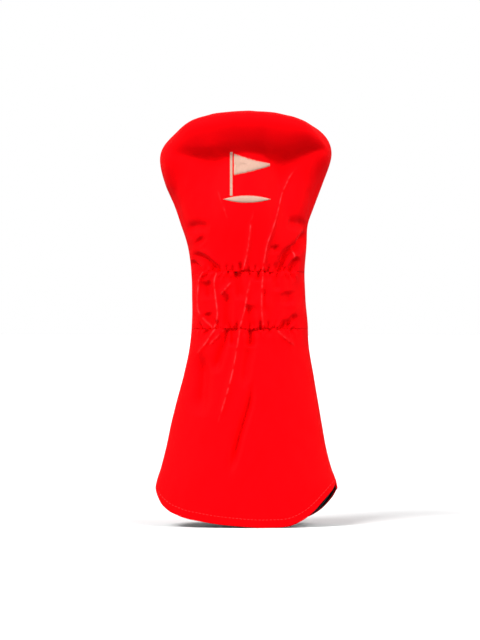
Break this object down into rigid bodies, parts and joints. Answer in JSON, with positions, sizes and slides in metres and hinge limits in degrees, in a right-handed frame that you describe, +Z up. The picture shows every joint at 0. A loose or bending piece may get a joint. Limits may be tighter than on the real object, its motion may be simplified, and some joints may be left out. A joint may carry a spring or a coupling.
{
  "type": "driver head cover",
  "caption": "Padded, lined red fabric golf driver head cover with a gathered elastic waist, flared skirt with vented topstitched hem, and an embroidered front emblem.",
  "frame": {"origin": "on the surface that the cover stands on, under the middle of its hem", "axes": "+Z up the cover from the hem to the padded top, the embroidered front faces -Y, +X to the viewer's right when looking at the front"},
  "size_m": [0.1522, 0.0841, 0.345],
  "materials": {
    "outer_cloth": "bright red woven cloth with a soft satin sheen",
    "lining": "black brushed fleece",
    "foam": "grey open-cell padding, hidden",
    "elastic": "natural woven elastic, hidden",
    "stabiliser": "white embroidery backing, hidden",
    "embroidery": "cream satin-stitch thread",
    "red_thread": "red sewing thread",
    "label": "blank white woven label"
  },
  "bodies": {
    "cover": {"front_head_panel": "outer_cloth", "front_head_foam": "foam", "front_head_lining": "lining", "front_skirt_panel": "outer_cloth", "front_hem_turn_up": "lining", "front_skirt_lining": "lining", "front_hem_thread": "red_thread", "back_head_panel": "outer_cloth", "back_head_foam": "foam", "back_head_lining": "lining", "back_skirt_panel": "outer_cloth", "back_hem_turn_up": "lining", "back_skirt_lining": "lining", "back_hem_thread": "red_thread", "waist_left_side": "outer_cloth", "waist_left_side_lining": "lining", "left_vent_bartack": "red_thread", "waist_right_side": "outer_cloth", "waist_right_side_lining": "lining", "right_vent_bartack": "red_thread", "crown_seam_thread": "red_thread", "emblem_pennant": "embroidery", "emblem_pole": "embroidery", "emblem_green": "embroidery", "emblem_stabiliser": "stabiliser", "care_label": "label"},
    "waist_front": {"waist_front_panel": "outer_cloth", "waist_front_elastic": "elastic", "waist_front_lining": "lining", "front_upper_gather_thread": "red_thread", "front_lower_gather_thread": "red_thread"},
    "waist_back": {"waist_back_panel": "outer_cloth", "waist_back_elastic": "elastic", "waist_back_lining": "lining", "back_upper_gather_thread": "red_thread", "back_lower_gather_thread": "red_thread"}
  },
  "joints": [
    {"name": "waist_front_stretch", "type": "slide", "parent": "cover", "child": "waist_front", "axis": [0, -1, 0], "range_m": [0, 0.018], "stiffness_N_per_m": 450},
    {"name": "waist_back_stretch", "type": "slide", "parent": "cover", "child": "waist_back", "axis": [0, 1, 0], "range_m": [0, 0.018], "stiffness_N_per_m": 450}
  ],
  "couplings": [
    {"joint": "waist_back_stretch", "follows": "waist_front_stretch", "ratio": 1}
  ]
}
